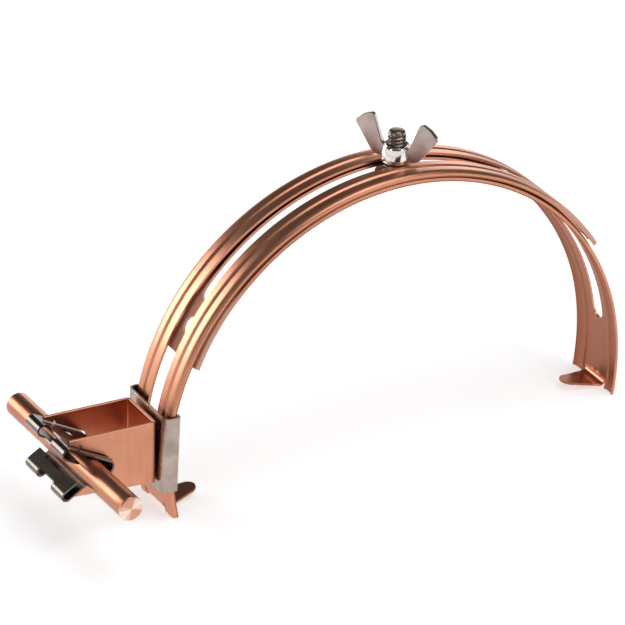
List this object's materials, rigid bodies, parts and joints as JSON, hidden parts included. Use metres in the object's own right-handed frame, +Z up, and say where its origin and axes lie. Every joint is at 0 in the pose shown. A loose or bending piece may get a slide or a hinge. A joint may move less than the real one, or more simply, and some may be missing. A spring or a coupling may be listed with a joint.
{
  "type": "roof conductor holder",
  "caption": "Half-round ridge arch of slotted copper strips clamped by a wing nut, with a sliding spring-clip holder for a round conductor.",
  "frame": {"origin": "centre of the bounding box on the plane that the strips' feet stand on", "axes": "+X across the ridge from the conductor holder towards the plain leg, +Y along the ridge and the conductor, +Z up"},
  "size_m": [0.2008, 0.078, 0.1124],
  "materials": {
    "left_strip": "rolled bright copper",
    "right_strip": "rolled bright copper",
    "clamp_bolt": "plain stainless steel",
    "wing_nut": "polished cast stainless steel",
    "slide_bracket": "plain stainless sheet",
    "holder_box": "rolled bright copper",
    "holder_rivet": "upset copper",
    "spring_clip": "bright spring steel",
    "conductor_rod": "drawn bright copper, end cut and turned"
  },
  "bodies": {
    "right_leg": {"right_strip": "right_strip"},
    "clamp": {"clamp_bolt": "clamp_bolt"},
    "left_leg": {"left_strip": "left_strip"},
    "nut": {"wing_nut": "wing_nut"},
    "holder": {"slide_bracket": "slide_bracket", "holder_box": "holder_box", "holder_rivet": "holder_rivet", "spring_clip": "spring_clip", "conductor_rod": "conductor_rod"}
  },
  "joints": [
    {"name": "bolt_in_right_strip", "type": "hinge", "parent": "right_leg", "child": "clamp", "pos_m": [0.01992, 0.0018, 0.01592], "axis": [0, 1, 0], "range_deg": [-50, 2.5]},
    {"name": "left_strip_on_bolt", "type": "hinge", "parent": "clamp", "child": "left_leg", "pos_m": [0.01977, 0.0018, 0.01383], "axis": [0, 1, 0], "range_deg": [-38, 2.5]},
    {"name": "wing_nut_turn", "type": "hinge", "parent": "clamp", "child": "nut", "pos_m": [0.02553, 0.0018, 0.09828], "axis": [0.068, 0, 0.9977], "continuous": true},
    {"name": "holder_on_left_strip", "type": "hinge", "parent": "left_leg", "child": "holder", "pos_m": [0.01977, 0.0018, 0.01383], "axis": [0, 1, 0], "range_deg": [-5, 5]}
  ]
}
